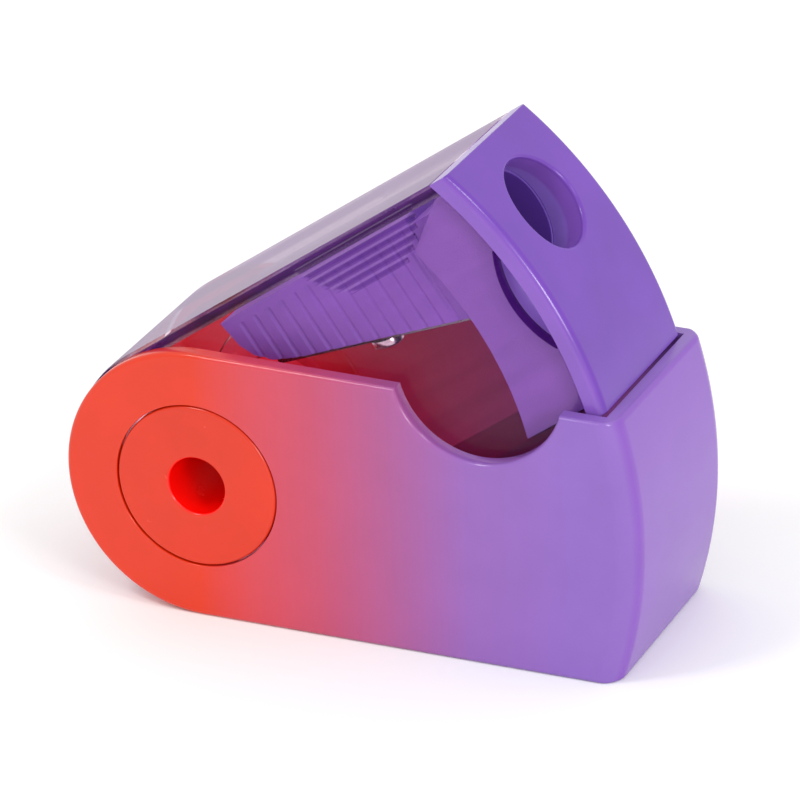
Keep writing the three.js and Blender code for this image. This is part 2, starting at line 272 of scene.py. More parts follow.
def flare(radius, face, lip, side):
    """(radius, distance) points by which a round cutter widens to round the lip of its hole."""
    turns = [math.pi / 2 * i / LIP_STEPS for i in range(LIP_STEPS + 1)]
    return [(radius + lip * (1 - math.cos(t)), face - side * lip * (1 - math.sin(t))) for t in turns]


def hole(name, radius, half, lip, x=0.0, z=0.0, steps=ROUND_STEPS):
    """A round cutter across a wall whose outer faces are at -half and half, with rounded lips."""
    wide = radius + lip
    near = list(reversed(flare(radius, -half, lip, -1)))
    profile = [(wide, -half - BEYOND)] + near + flare(radius, half, lip, 1)
    return across(name, profile + [(wide, half + BEYOND)], x, z, steps)


def drum(name, radius, width, x=0.0, z=0.0, steps=ROUND_STEPS):
    return across(name, [(radius, -width / 2), (radius, width / 2)], x, z, steps)


def coin(name, radius, width, rim):
    """A wide disc about the pivot whose two rims are rounded."""
    profile = []
    for side in (-1, 1):
        for i in range(COIN_STEPS + 1):
            turn = (i if side < 0 else COIN_STEPS - i) / COIN_STEPS * math.pi / 2
            y = side * (width / 2 - rim + rim * math.cos(turn))
            profile.append((radius - rim + rim * math.sin(turn), y))
    return across(name, profile, steps=WIDE_STEPS)


def baked(piece):
    """Applies the piece's modifiers to its mesh."""
    graph = bpy.context.evaluated_depsgraph_get()
    mesh = bpy.data.meshes.new_from_object(piece.evaluated_get(graph))
    piece.modifiers.clear()
    piece.data = mesh
    return piece


def tidied(piece):
    """Welds the specks that a boolean leaves and joins faces that lie in one plane."""
    bm = bmesh.new()
    bm.from_mesh(piece.data)
    bmesh.ops.remove_doubles(bm, verts=bm.verts, dist=WELD)
    bmesh.ops.dissolve_limit(bm, angle_limit=FLAT, verts=bm.verts, edges=bm.edges, delimit=set())
    bm.to_mesh(piece.data)
    bm.free()
    return piece


def boolean(piece, other, operation):
    step = piece.modifiers.new("step", "BOOLEAN")
    step.operation = operation
    step.solver = "EXACT"
    step.object = other
    baked(piece)
    bpy.data.objects.remove(other)
    return tidied(piece)


def cut(piece, *others):
    for other in others:
        boolean(piece, other, "DIFFERENCE")
    return piece


def joined(piece, other):
    return boolean(piece, other, "UNION")


def within(piece, other):
    return boolean(piece, other, "INTERSECT")


def rounded(piece, width, segments=4, sharper_than=35.0):
    """Rounds every edge that turns by more than an angle in degrees."""
    step = piece.modifiers.new("round", "BEVEL")
    step.width = width
    step.segments = segments
    step.limit_method = "ANGLE"
    step.angle_limit = math.radians(sharper_than)
    baked(piece)
    return piece


def placed(piece, node, body, slot, material, place):
    """Takes a finished mesh to its place in metres, shades it, and puts it in its node's stead."""
    piece.data.transform(place @ Matrix.Scale(MM, 4))
    piece.data.materials.clear()
    piece.data.materials.append(material)
    piece.data.polygons.foreach_set("use_smooth", [True] * len(piece.data.polygons))
    piece.data.set_sharp_from_angle(angle=SHARP)
    weighted = piece.modifiers.new("normals", "WEIGHTED_NORMAL")
    weighted.weight = NORMAL_WEIGHT
    weighted.keep_sharp = True
    baked(piece)
    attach(piece, body)
    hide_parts(node)
    return piece


# ---- outer case ----


def case_outline(y):
    """The case seen from the side at y, with its rims and its corners rounded."""
    half = CASE_WIDTH / 2
    inset = rim_inset(y, half, CASE_EDGE)
    hub = HUB_RADIUS - inset
    end = END_RADIUS - rim_inset(y, half, CASE_CORNER)
    fillet = CASE_EDGE - inset + CASE_LEAST_FILLET
    square = math.pi / 2 - CASE_TOP_SLOPE
    away = math.sqrt((end - fillet) ** 2 - (hub - fillet) ** 2)
    lean = math.atan2(hub - fillet, away)
    low_z = fillet - hub
    high_turn = lean - CASE_TOP_SLOPE
    high_x = (end - fillet) * math.cos(high_turn)
    high_z = (end - fillet) * math.sin(high_turn)
    points = arc(0, 0, hub, square, 1.5 * math.pi, steps=180)
    points += arc(away, low_z, fillet, -math.pi / 2, -lean, steps=RIM_STEPS)
    points += arc(0, 0, end, -lean, high_turn, steps=40)[1:-1]
    return points + arc(high_x, high_z, fillet, high_turn, square, steps=RIM_STEPS)


def case_shape():
    half = CASE_WIDTH / 2
    inner = half - CASE_WALL
    shell = lofted("case_shell", case_outline, rim_levels(half, CASE_EDGE, CASE_CORNER))
    inner_end = END_RADIUS - CASE_END_WALL
    floor = CASE_FLOOR - HUB_RADIUS
    reach = math.asin(floor / inner_end)
    curve = arc(0, 0, inner_end, reach, math.pi / 4)
    hollow = [(-END_RADIUS, floor)] + curve + [(-END_RADIUS, curve[-1][1])]
    cut(shell, prism("case_hollow", hollow, -inner, inner))
    under_hub = (-END_RADIUS, CASE_FLOOR_START, -inner, inner, -END_RADIUS, 0)
    cut(shell, block("case_under_hub", *under_hub))
    x, z, radius = NOTCH
    cut(shell, hole("case_notch", radius, half, CASE_EDGE, x, z, WIDE_STEPS))
    cut(shell, hole("case_hub_hole", HUB_HOLE, half, HUB_LIP))
    return rounded(shell, CASE_INNER_EDGE, segments=2, sharper_than=60)


# ---- pivot ----


def pivot_shape(side):
    outer = CASE_WIDTH / 2
    seat = BOX_WIDTH / 2 + GAP
    profile = [
        (HUB_BORE, GAP / 2),
        (HUB_SPIGOT, GAP / 2),
        (HUB_SPIGOT, seat),
        (HUB_DISC, seat),
        (HUB_DISC, outer),
        (HUB_BORE, outer),
    ]
    bm = bmesh.new()
    rings = []
    for radius, y in profile:
        turns = [2 * math.pi * i / ROUND_STEPS for i in range(ROUND_STEPS)]
        points = [(radius * math.cos(t), side * y, radius * math.sin(t)) for t in turns]
        rings.append([bm.verts.new(point) for point in points])
    for a, b in zip(rings, rings[1:] + rings[:1]):
        for i in range(ROUND_STEPS):
            j = (i + 1) % ROUND_STEPS
            bm.faces.new((a[i], a[j], b[j], b[i]))
    return rounded(made("pivot", bm), PIVOT_EDGE)


# ---- shavings box ----


def box_outline(wall, lid, floor, front):
    """The box seen from the side, drawn in by a wall, a lid and a floor thickness."""
    radius = BOX_BACK - wall
    lid_radius = BOX_BACK - lid
    bottom = BOX_BOTTOM + floor
    start = math.pi / 2 - LID_SLOPE + math.acos(lid_radius / radius)
    low_radius = BOX_LOW_BACK - wall
    end = math.asin(bottom / low_radius) + 2 * math.pi
    top = lid_radius / math.cos(LID_SLOPE) - front * math.tan(LID_SLOPE)
    back = arc(0, 0, radius, start, BOX_BACK_TURN[0], steps=60)
    low_back = arc(0, 0, low_radius, BOX_BACK_TURN[1], end, steps=100)
    return back + low_back + [(front, bottom), (front, top)]


def grip_grooves():
    bm = bmesh.new()
    outer = BOX_WIDTH / 2
    x, z, radius = GRIP
    for level in GRIP_LEVELS:
        reach = math.sqrt(radius**2 - (level - z) ** 2)
        low = level - GRIP_GROOVE / 2
        high = level + GRIP_GROOVE / 2
        outline = [(x - reach, low), (x + reach, low), (x + reach, high), (x - reach, high)]
        add_prism(bm, outline, outer - GRIP_DEPTH, outer + BEYOND)
        add_prism(bm, outline, -outer - BEYOND, GRIP_DEPTH - outer)
    return made("grip_grooves", bm)


def box_shape():
    half = BOX_WIDTH / 2
    front = CAP_OUTER + BEYOND

    def outline_at(y):
        inset = rim_inset(y, half, BOX_EDGE)
        return box_outline(inset, inset, inset, front)

    shell = lofted("box_shell", outline_at, rim_levels(half, BOX_EDGE))
    hollow = box_outline(BOX_WALL, BOX_LID, BOX_FLOOR, front + BEYOND)
    cut(shell, prism("box_hollow", hollow, BOX_WALL - half, half - BOX_WALL))
    within(shell, drum("box_front", CAP_INNER - GAP, BOX_WIDTH + BEYOND, steps=WIDE_STEPS))
    cut(shell, drum("box_pivot_hole", HUB_SPIGOT + GAP, BOX_WIDTH + BEYOND))
    x, z, radius = SCOOP
    cut(shell, drum("box_scoop", radius, BOX_WIDTH + BEYOND, x, z, WIDE_STEPS))
    cut(shell, grip_grooves())
    return rounded(shell, BOX_INNER_EDGE, segments=2, sharper_than=50)


# ---- front cap ----


def cap_shape():
    half = BOX_WIDTH / 2
    front = CAP_OUTER + BEYOND
    inner = arc(0, 0, CAP_INNER, math.asin(BOX_TOP / CAP_INNER), math.asin(BOX_BOTTOM / CAP_INNER))
    plate = prism("cap_plate", [(front, BOX_BOTTOM), (front, BOX_TOP)] + inner, -front, front)
    within(plate, coin("cap_front", CAP_OUTER, BOX_WIDTH, CAP_EDGE))
    rounded(plate, CAP_BACK_EDGE, segments=3, sharper_than=50)

    skirt_half = half - BOX_WALL - GAP
    low = BOX_BOTTOM + BOX_FLOOR + GAP
    high = BOX_TOP - BOX_LID - GAP
    middle = (CAP_OUTER + CAP_INNER) / 2
    corner, drop = SKIRT_CORNER
    back = arc(0, 0, SKIRT_BACK, math.asin((high - drop) / SKIRT_BACK), math.asin(low / SKIRT_BACK))
    skirt_outline = [(CAP_OUTER, low), (CAP_OUTER, high), (corner, high)] + back
    skirt = prism("cap_skirt", skirt_outline, -skirt_half, skirt_half)
    inside = skirt_half - SKIRT_WALL
    bottom = low + SKIRT_WALL
    top = high - SKIRT_WALL
    curve = arc(0, 0, CAP_INNER, math.asin(bottom / CAP_INNER), math.asin(top / CAP_INNER))
    hollow = [(SKIRT_BACK - BEYOND, bottom)] + curve + [(SKIRT_BACK - BEYOND, top)]
    cut(skirt, prism("cap_hollow", hollow, -inside, inside))
    joined(skirt, along("cap_collar", [(COLLAR_RADIUS, COLLAR_BACK), (COLLAR_RADIUS, CAP_OUTER)]))
    within(skirt, drum("cap_middle", middle, BOX_WIDTH + BEYOND, steps=WIDE_STEPS))
    rounded(skirt, SKIRT_EDGE, segments=2, sharper_than=50)
    cap = joined(plate, skirt)
    return cut(cap, mouth_cutter())


def mouth_cutter():
    """The pencil hole, with a rounded lip that follows the curved front of the cap."""

    def from_front(a, b, x):
        return (x + math.sqrt(CAP_OUTER**2 - (BORE_HEIGHT + b) ** 2), a, BORE_HEIGHT + b)

    wide = MOUTH_RADIUS + MOUTH_LIP
    profile = [(MOUTH_RADIUS, COLLAR_BACK - CAP_OUTER - BEYOND)]
    profile += flare(MOUTH_RADIUS, 0, MOUTH_LIP, 1) + [(wide, BEYOND)]
    return turned("cap_mouth", profile, ROUND_STEPS, from_front)


# ---- sharpener block ----


def face_height(x):
    return FACE_POINT[1] - (x - FACE_POINT[0]) * math.tan(FACE_ANGLE)


def rib_grooves():
    """Upright grooves in both sides of the block, with sides that slope in."""
    bm = bmesh.new()
    count = int((NOSE_START - RIB_GROOVE - BLOCK_BACK - RIB_PITCH) / RIB_PITCH) + 1
    slant = RIB_GROOVE * RIB_SLANT
    high = BLOCK_TOP - RIB_STOP
    for i in range(count):
        start = BLOCK_BACK + RIB_PITCH * (i + 1)
        end = start + RIB_GROOVE
        for side in (-1, 1):
            deep = side * (BLOCK_HALF - RIB_DEPTH)
            face = side * BLOCK_HALF
            clear = side * (BLOCK_HALF + BEYOND)
            section = [(start, clear), (end, clear), (end, face), (end - slant, deep)]
            section += [(start + slant, deep), (start, face)]
            low_ring = [bm.verts.new((x, y, BOX_BOTTOM)) for x, y in section]
            high_ring = [bm.verts.new((x, y, high)) for x, y in section]
            bm.faces.new(low_ring)
            bm.faces.new(high_ring)
            for a in range(len(section)):
                b = (a + 1) % len(section)
                bm.faces.new((low_ring[a], low_ring[b], high_ring[b], high_ring[a]))
    return made("rib_grooves", bm)


def block_shape():
    front = COLLAR_BACK - GAP
    tail = [(BLOCK_BACK + x, z) for x, z in BLOCK_TAIL]
    tail += [FACE_POINT, (NOSE_START, face_height(NOSE_START)), (NOSE_START, BLOCK_TOP)]
    body = prism("block_body", tail, -BLOCK_HALF, BLOCK_HALF)
    cut(body, rib_grooves())
    start = NOSE_START - NOSE_ROOT
    nose = [(start, face_height(start)), (front, face_height(front))]
    nose += [(front, NOSE_TOP), (start, NOSE_TOP)]
    joined(body, prism("block_nose", nose, -NOSE_HALF, NOSE_HALF))
    bore = [(0, BORE_TIP), (BORE_RADIUS, BORE_STRAIGHT), (BORE_RADIUS, front + BEYOND)]
    cut(body, along("block_bore", bore))
    return rounded(body, BLOCK_EDGE, segments=3, sharper_than=30)


# ---- blade and screw, about the middle of the sloping face ----


def blade_shape():
    top = -GAP / 2
    bottom = top - BLADE_THICKNESS
    section = [
        (BLADE_BACK_Y, bottom),
        (BLADE_EDGE_Y - BLADE_GRIND, bottom),
        (BLADE_EDGE_Y, top - BLADE_TIP),
        (BLADE_EDGE_Y, top),
        (BLADE_BACK_Y, top),
    ]
    bm = bmesh.new()
    half = BLADE_LENGTH / 2
    back = [bm.verts.new((-half, y, z)) for y, z in section]
    front = [bm.verts.new((half, y, z)) for y, z in section]
    bm.faces.new(back)
    bm.faces.new(front)
    for i in range(len(section)):
        j = (i + 1) % len(section)
        bm.faces.new((back[i], back[j], front[j], front[i]))
    return rounded(made("blade_steel", bm), BLADE_ROUNDING, segments=2, sharper_than=30)


def screw_shape():
    under = -GAP - BLADE_THICKNESS
    radius, height = SCREW_HEAD
    shank, length = SCREW_SHANK
    crown = arc(0, 0, radius, math.pi / 2, 0, SCREW_STEPS)[1:]
    dome = [(x, under - height * (SCREW_RIM + (1 - SCREW_RIM) * z / radius)) for x, z in crown]
    profile = [(0, under - height)] + dome
    profile += [(radius, under), (shank, under), (shank, length)]
    screw = turned("screw_steel", profile, SCREW_STEPS, lambda a, b, z: (a, SCREW_Y + b, z))
    slot, depth = SCREW_SLOT
    floor = under - height + depth
    reach = radius + BEYOND
    low = SCREW_Y - slot / 2
    high = SCREW_Y + slot / 2
    cut(screw, block("screw_slot", -reach, reach, low, high, floor - BEYOND, floor))
    return rounded(screw, SCREW_ROUNDING, segments=2, sharper_than=40)


# ---- materials ----

NOISE_SPAN = (0.3, 0.7)  # the range that most of a noise's values lie in
MIX_FACTOR, MIX_A, MIX_B, MIX_RESULT = 0, 6, 7, 2  # the colour sockets of a Mix node

# Display colours, 0 to 255.
ORANGE = (214, 47, 8)
CORAL = (202, 63, 75)
ROSE = (188, 68, 98)
ORCHID = (162, 80, 137)
VIOLET = (140, 91, 171)
PURPLE = (132, 93, 179)
RED = (225, 42, 42)
CRIMSON = (196, 78, 122)
WINE = (150, 101, 185)
# painted shade: the case's end face gets its own, darker purple for how the light falls on it
SHADED_END_PURPLE = (128, 77, 178)
PIVOT_ORANGE = (218, 46, 6)
PIVOT_INNER = (212, 48, 62)
PIVOT_BORE = (250, 8, 2)
CAP_SIDES = (131, 85, 184)
# painted shade: the cap's curved front, darker than its sides
SHADED_CAP_FRONT = (109, 57, 172)
CAP_SKIRT = (140, 105, 199)
BLOCK_LILAC = (142, 104, 206)
BLOCK_BORE_SHADE = (92, 55, 150)
CLEAR_WALL = (252, 240, 248)
# painted shade: where the clear plastic is looked into lengthwise
CLEAR_EDGE_SHADE = (130, 70, 160)
# painted shade in the grip grooves
CLEAR_GROOVE_SHADE = (145, 80, 180)
CLEAR_SHINE = (184, 172, 190)
BLADE_GREY = (130, 132, 138)
SCREW_GREY = (225, 225, 222)

# Fades along the case, as (share of its length from the pivot, colour).
OUTSIDE_FADE = [(0, ORANGE), (0.13, CORAL), (0.27, ROSE), (0.45, ORCHID), (0.62, VIOLET), (0.85, PURPLE)]
INSIDE_FADE = [(0, RED), (0.35, CRIMSON), (0.9, WINE)]

# Where a colour comes in near an edge of the shape: start and end, in millimetres past the edge.
SHADED_END_FACE = (-0.6, -0.2)
BARE_FLANK = (0.25, 0.05)
BARE_END = (-0.2, -5.0)
BARE_FLOOR = (0.4, 0.9)
BARE_RIM = (-0.9, -2.0)
BARE_NOTCH = (0.15, 0.8)
PIVOT_INWARD = (-0.8, -1.2)
PIVOT_HOLE = (0.2, 0.05)
SKIRT_BEHIND = (0.0, -0.3)
CAP_FRONT_SHADE = (-0.5, -0.1)
BORE_SHADE_EDGE = (0.15, 0.05)
CLEAR_FLANK = (-0.45, -0.35)
LID_UNDER = (-1.0, -0.8)
LID_OVER = (-0.2, -0.3)
GRIP_AREA = (0.0, -0.2)
GRIP_LOW = (-0.3, -0.25)
SCOOP_CUT = (0.12, 0.05)

# Where a grip line gets painted shade and where a painted highlight, as shares of the pitch off its
# crest.
GROOVE_SPAN = (0.2, 0.35)
CREST_SPAN = (0.14, 0.04)
GROOVE_SHADE = 0.6
# painted highlight on the crests of the grip lines
CREST_HIGHLIGHT = 0.12

# Patterns, with sizes and depths in millimetres.
MOTTLE = (5, 0.03)  # size, share of brightness
TONE = (8, 0.94)  # size, brightness of its dark patches
GLOSS_DRIFT = (2.5, 0.04)  # size, change of roughness
GRAIN = (0.9, 0.02, 0.03)  # size, strength, depth
SPRAY = (0.3, 0.5)  # size of a speck, how far it shifts the fade
STREAK = (1.2, 0.95, 1.0)  # size, least and most light through
STREAK_STRETCH = (0.05, 1, 1)
CLEAR_GLOSS = (3, 0.07, 0.13)  # size, least and most roughness
RIPPLE = (3, 0.04, 0.1)  # size, strength, depth
SCRATCH = (0.12, 0.15, 0.02)  # size, strength, depth
SCRATCH_ROUGHNESS = (-0.08, 0.12)
STEEL_SHADE = (1.5, 0.85, 1.0)  # size, least and most brightness
FLOOR_SHADE = (60, 0.93, 0.95)

PAINTED_GLOW = 0.22  # painted glow: emission that stands in for the share of light the thin walls let through to the bare inside
PLASTIC_IOR = 1.5
CASE_ROUGHNESS = 0.2
PIVOT_ROUGHNESS = 0.24
CAP_ROUGHNESS = 0.2
BLOCK_ROUGHNESS = 0.38
BLADE_ROUGHNESS = 0.25
SCREW_ROUGHNESS = 0.2
FACING_SPAN = (0.5, 0.9)  # from square to nearly flat along the surface
MIRROR_SPAN = (0.022, 0.88)  # share of light that the clear plastic reflects over that span


class Nodes:
    """A material's node tree, with a short way to add and link nodes."""

    def __init__(self, name, turn=0.0):
        """turn is the piece's angle about the pivot, so that patterns lie along the piece."""
        self.turn = turn
        self.material = bpy.data.materials.new(name)
        self.material.use_nodes = True
        self.tree = self.material.node_tree
        self.tree.nodes.clear()
        self.output = self.add("ShaderNodeOutputMaterial")

    def fill(self, socket, value):
        if isinstance(value, bpy.types.NodeSocket):
            self.tree.links.new(value, socket)
        else:
            socket.default_value = value

    def add(self, kind, inputs=None, **settings):
        node = self.tree.nodes.new(kind)
        for name, value in settings.items():
            setattr(node, name, value)
        for name, value in (inputs or {}).items():
            self.fill(node.inputs[name], value)
        return node

    def maths(self, operation, *values):
        return self.add("ShaderNodeMath", dict(enumerate(values)), operation=operation).outputs[0]

    def product(self, first, *others):
        for other in others:
            first = self.maths("MULTIPLY", first, other)
        return first

    def length(self, a, b):
        squares = self.maths("ADD", self.product(a, a), self.product(b, b))
        return self.maths("SQRT", squares)

    def distance(self, x, z, circle):
        """How far a point lies from the middle of a circle of (x, z, radius)."""
        return self.length(self.maths("SUBTRACT", x, circle[0]), self.maths("SUBTRACT", z, circle[1]))

    def mapped(self, value, low, high, to_low=0.0, to_high=1.0, smooth=False):
        inputs = {"Value": value, "From Min": low, "From Max": high}
        inputs.update({"To Min": to_low, "To Max": to_high})
        kind = "SMOOTHSTEP" if smooth else "LINEAR"
        return self.add("ShaderNodeMapRange", inputs, interpolation_type=kind).outputs[0]

    def past(self, edge, span, value):
        """0 to 1 as the value runs over a span that is counted from an edge."""
        return self.mapped(value, edge + span[0], edge + span[1])

    def place(self):
        """The surface point as if the piece were swung shut, about the pivot, in metres."""
        point = self.add("ShaderNodeTexCoord").outputs["Object"]
        inputs = {"Vector": point, "Location": pivot, "Rotation": (0, self.turn, 0)}
        return self.add("ShaderNodeMapping", inputs, vector_type="TEXTURE").outputs[0]

    def axes(self):
        """The surface point's x, y and z about the pivot, in millimetres."""
        split = self.add("ShaderNodeSeparateXYZ", {0: self.place()})
        return [self.product(split.outputs[i], 1 / MM) for i in range(3)]

    def noise(self, size, detail=3.0, stretch=(1, 1, 1)):
        """Noise whose features are about size millimetres across."""
        scaled = self.add("ShaderNodeMapping", {"Vector": self.place(), "Scale": stretch})
        inputs = {"Vector": scaled.outputs[0], "Scale": 1 / (size * MM), "Detail": detail}
        return self.add("ShaderNodeTexNoise", inputs).outputs["Fac"]

    def drift(self, size, low, high, **settings):
        """A value that wanders from low to high and back over about size millimetres."""
        return self.mapped(self.noise(size, **settings), *NOISE_SPAN, low, high)

    def ramp(self, value, stops):
        node = self.add("ShaderNodeValToRGB", {"Fac": value})
        elements = node.color_ramp.elements
        while len(elements) < len(stops):
            elements.new(1.0)
        for element, (place, colour) in zip(elements, stops):
            element.position = place
            element.color = linear(colour)
        return node.outputs["Color"]

    def grey(self, value):
        return self.add("ShaderNodeCombineColor", {0: value, 1: value, 2: value}).outputs[0]

    def mix(self, share, a, b, blend="MIX"):
        node = self.add("ShaderNodeMix", data_type="RGBA", blend_type=blend)
        self.fill(node.inputs[MIX_FACTOR], share)
        self.fill(node.inputs[MIX_A], a)
        self.fill(node.inputs[MIX_B], b)
        return node.outputs[MIX_RESULT]

    def shaded(self, colour, brightness):
        return self.mix(1.0, colour, self.grey(brightness), "MULTIPLY")

    def bump(self, height, strength, depth):
        inputs = {"Height": height, "Strength": strength, "Distance": depth * MM}
        return self.add("ShaderNodeBump", inputs).outputs[0]

    def done(self, shader):
        self.tree.links.new(shader.outputs[0], self.output.inputs["Surface"])
        return self.material


def linear(colour):
    """A display colour, 0 to 255, as linear light with full alpha, by the sRGB curve."""
    parts = [part / 255 for part in colour]
    curve = [p / 12.92 if p <= 0.04045 else ((p + 0.055) / 1.055) ** 2.4 for p in parts]
    return (*curve, 1.0)


def mottled(nodes, colour):
    """A colour that drifts a little darker and lighter over some millimetres."""
    size, dark = TONE
    darker = tuple(dark * part for part in colour)
    return nodes.mix(nodes.drift(size, 0, 1), linear(colour), linear(darker))


def moulded(nodes, colour, roughness):
    """Moulded plastic: faint mottling, a fine grain, and gloss that drifts across the surface."""
    size, share = MOTTLE
    toned = nodes.shaded(colour, nodes.drift(size, 1 - share, 1 + share))
    size, change = GLOSS_DRIFT
    gloss = nodes.drift(size, roughness - change, roughness + change)
    size, strength, depth = GRAIN
    height = nodes.bump(nodes.noise(size, detail=2), strength, depth)
    inputs = {"Base Color": toned, "Roughness": gloss, "Normal": height, "IOR": PLASTIC_IOR}
    return nodes.add("ShaderNodeBsdfPrincipled", inputs)


def painted_glow(nodes, shader, colour, share):
    """Paints a glow on a share of the surface, 0 to 1: emission that stands in for the light that a thin
    wall lets through when light falls on it.
    """
    nodes.fill(shader.inputs["Emission Color"], colour)
    nodes.fill(shader.inputs["Emission Strength"], nodes.product(share, PAINTED_GLOW))
    return nodes.done(shader)


def case_material():
    """Sprayed plastic that fades along the case, with the red of the moulding left bare inside."""
    nodes = Nodes("sprayed_case")
    x, y, z = nodes.axes()
    size, shift = SPRAY
    speckle = nodes.mapped(nodes.noise(size, detail=2), 0, 1, -shift, shift)
    share = nodes.mapped(nodes.maths("ADD", x, speckle), 0, END_RADIUS)
    reach = nodes.length(x, z)
    # painted shade on the end face: a darker purple of its own, for how the light falls there
    shaded_end = nodes.past(END_RADIUS, SHADED_END_FACE, reach)
    outside = nodes.mix(shaded_end, nodes.ramp(share, OUTSIDE_FADE), linear(SHADED_END_PURPLE))
    inside = nodes.ramp(share, INSIDE_FADE)
    bare = nodes.product(
        nodes.past(CASE_WIDTH / 2 - CASE_WALL, BARE_FLANK, nodes.maths("ABSOLUTE", y)),
        nodes.past(END_RADIUS - CASE_END_WALL, BARE_END, reach),
        nodes.past(-HUB_RADIUS, BARE_FLOOR, z),
        nodes.past(HUB_RADIUS, BARE_RIM, z),
        nodes.past(NOTCH[2], BARE_NOTCH, nodes.distance(x, z, NOTCH)),
    )
    colour = nodes.mix(bare, outside, inside)
    # painted glow on the bare inside: emission for the light that comes through the thin walls
    return painted_glow(nodes, moulded(nodes, colour, CASE_ROUGHNESS), colour, bare)


def pivot_material():
    """Orange plastic, deeper in the bore and towards the middle of the sharpener."""
    nodes = Nodes("pivot_plastic", -open_angle)
    x, y, z = nodes.axes()
    inward = nodes.past(CASE_WIDTH / 2, PIVOT_INWARD, nodes.maths("ABSOLUTE", y))
    bore = nodes.past(HUB_BORE, PIVOT_HOLE, nodes.length(x, z))
    base = nodes.mix(inward, mottled(nodes, PIVOT_ORANGE), linear(PIVOT_INNER))
    colour = nodes.mix(bore, base, linear(PIVOT_BORE))
    # painted glow on the pivot's inner side, outside the bore
    glow_share = nodes.product(inward, nodes.maths("SUBTRACT", 1.0, bore))
    return painted_glow(nodes, moulded(nodes, colour, PIVOT_ROUGHNESS), colour, glow_share)


def cap_material():
    """Purple plastic, with painted shade making the curved front darker than the sides and inside."""
    nodes = Nodes("cap_plastic", -open_angle)
    x, _, z = nodes.axes()
    reach = nodes.length(x, z)
    skirt = nodes.past(CAP_INNER, SKIRT_BEHIND, reach)
    # painted shade on the curved front, for how the light falls on it
    front = nodes.past(CAP_OUTER, CAP_FRONT_SHADE, reach)
    sides = nodes.mix(skirt, mottled(nodes, CAP_SIDES), mottled(nodes, CAP_SKIRT))
    base = nodes.mix(front, sides, mottled(nodes, SHADED_CAP_FRONT))
    return nodes.done(moulded(nodes, base, CAP_ROUGHNESS))


def block_material():
    """Lilac plastic, with painted shade darkening the inside of the bore."""
    nodes = Nodes("block_plastic", -open_angle)
    _, y, z = nodes.axes()
    off_axis = nodes.length(y, nodes.maths("SUBTRACT", z, BORE_HEIGHT))
    # painted shade inside the bore
    bore = nodes.past(BORE_RADIUS, BORE_SHADE_EDGE, off_axis)
    base = nodes.mix(bore, mottled(nodes, BLOCK_LILAC), linear(BLOCK_BORE_SHADE))
    return nodes.done(moulded(nodes, base, BLOCK_ROUGHNESS))


def clear_material():
    """Tinted clear plastic, hazier the flatter it is looked along.

    The lid's edge, the grip lines and the cut of the scoop are looked into lengthwise, so they are
    painted much darker than the walls, as painted shade; the grip lines also get a painted highlight.
    """
    nodes = Nodes("clear_box", -open_angle)
    x, y, z = nodes.axes()
    flank = nodes.past(BOX_WIDTH / 2, CLEAR_FLANK, nodes.maths("ABSOLUTE", y))

    # painted shade along the lid's edge and on the cut of the scoop, where they are looked into
    # lengthwise
    lid = nodes.maths("ADD", z, nodes.product(x, math.tan(LID_SLOPE)))
    under = nodes.past(BOX_BACK, LID_UNDER, lid)
    over = nodes.past(BOX_BACK, LID_OVER, lid)
    edge = nodes.product(under, over, flank)
    scoop = nodes.past(SCOOP[2], SCOOP_CUT, nodes.distance(x, z, SCOOP))
    dark = nodes.maths("MAXIMUM", edge, scoop)

    in_grip = nodes.past(GRIP[2], GRIP_AREA, nodes.distance(x, z, GRIP))
    above = nodes.past(GRIP_LEVELS[0], GRIP_LOW, z)
    grip = nodes.product(in_grip, above, flank)
    pitch = GRIP_LEVELS[1] - GRIP_LEVELS[0]
    rise = nodes.maths("DIVIDE", nodes.maths("SUBTRACT", z, GRIP_LEVELS[0]), pitch)
    off_crest = nodes.maths("ABSOLUTE", nodes.maths("SUBTRACT", nodes.maths("FRACT", rise), 0.5))
    # painted shade in the grip grooves
    groove_shade = nodes.product(grip, nodes.mapped(off_crest, *GROOVE_SPAN), GROOVE_SHADE)
    # painted highlight on the crests of the grip lines
    crest_highlight = nodes.product(grip, nodes.mapped(off_crest, *CREST_SPAN), CREST_HIGHLIGHT)

    wall = nodes.mix(dark, linear(CLEAR_WALL), linear(CLEAR_EDGE_SHADE))
    tint = nodes.mix(groove_shade, wall, linear(CLEAR_GROOVE_SHADE))
    streaked = nodes.shaded(tint, nodes.drift(*STREAK, detail=2, stretch=STREAK_STRETCH))
    through = nodes.add("ShaderNodeBsdfTransparent", {"Color": streaked})

    gloss = nodes.drift(*CLEAR_GLOSS)
    size, strength, depth = RIPPLE
    ripple = nodes.bump(nodes.noise(size, detail=1), strength, depth)
    inputs = {"Color": linear(CLEAR_SHINE), "Roughness": gloss, "Normal": ripple}
    shine = nodes.add("ShaderNodeBsdfGlossy", inputs)

    facing = nodes.add("ShaderNodeLayerWeight", {"Blend": 0.5}).outputs["Facing"]
    mirror = nodes.mapped(facing, *FACING_SPAN, *MIRROR_SPAN, smooth=True)
    # the painted highlight adds to the mirror share
    share = nodes.maths("ADD", mirror, crest_highlight)
    shaders = {0: share, 1: through.outputs[0], 2: shine.outputs[0]}
    return nodes.done(nodes.add("ShaderNodeMixShader", shaders))


def steel_material(name, colour, roughness, stretch):
    """Ground steel, with fine scratches along one way."""
    nodes = Nodes(name, FACE_ANGLE - open_angle)
    size, strength, depth = SCRATCH
    scratches = nodes.noise(size, detail=4, stretch=stretch)
    least, most = (roughness + change for change in SCRATCH_ROUGHNESS)
    gloss = nodes.mapped(scratches, *NOISE_SPAN, least, most)
    base = nodes.shaded(linear(colour), nodes.drift(*STEEL_SHADE))
    height = nodes.bump(scratches, strength, depth)
    inputs = {"Base Color": base, "Roughness": gloss, "Metallic": 1.0, "Normal": height}
    return nodes.done(nodes.add("ShaderNodeBsdfPrincipled", inputs))


# ---- building the pieces ----


